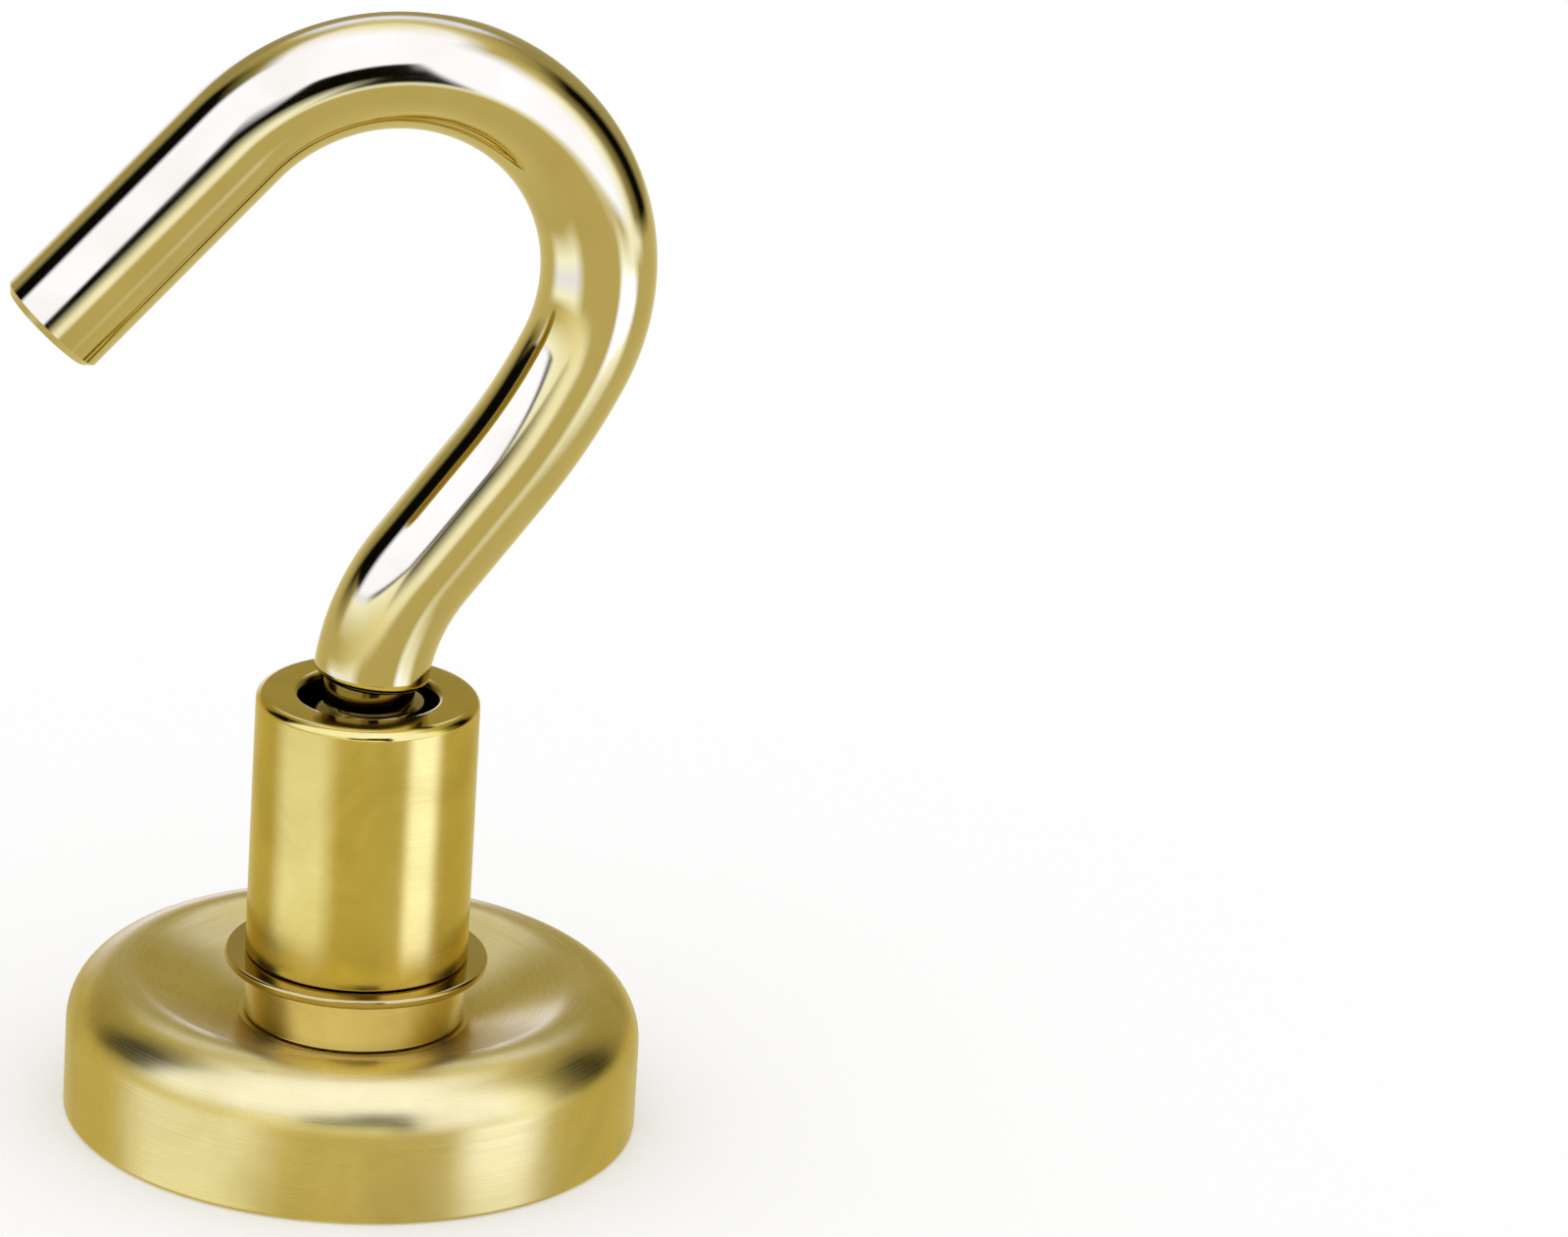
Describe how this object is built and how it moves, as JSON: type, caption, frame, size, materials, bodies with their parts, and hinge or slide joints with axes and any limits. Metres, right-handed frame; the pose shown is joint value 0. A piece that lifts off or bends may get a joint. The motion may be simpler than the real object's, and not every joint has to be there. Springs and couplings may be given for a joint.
{
  "type": "magnetic hook",
  "caption": "Magnetic hook: round magnet cup with a dished top, a neck and thin washer, a tapped sleeve that swivels on them, and a bent wire hook with a cut-off tip.",
  "frame": {"origin": "centre of the magnet face that the hook stands or hangs on", "axes": "+Z out of the magnet face along the sleeve and its swivel axis; the hook lies in the X-Z plane with its tip towards -X at rest"},
  "size_m": [0.0229, 0.02, 0.0401],
  "materials": {
    "satin_plated_steel": "satin brass-gold plating over turned steel",
    "polished_plated_steel": "mirror-bright brass-gold plating over steel",
    "nickel_plated_magnet": "plain bright nickel plating over a sintered magnet",
    "potting_resin": "dark set resin, slightly glossy"
  },
  "bodies": {
    "base": {"magnet_cup": "satin_plated_steel", "disc_magnet": "nickel_plated_magnet", "resin_ring": "potting_resin", "neck_bush": "polished_plated_steel", "bearing_washer": "polished_plated_steel"},
    "hook": {"threaded_sleeve": "satin_plated_steel", "wire_hook": "polished_plated_steel"}
  },
  "joints": [
    {"name": "sleeve_swivel", "type": "hinge", "parent": "base", "child": "hook", "pos_m": [0, 0, 0.00599], "axis": [0, 0, 1], "continuous": true}
  ]
}
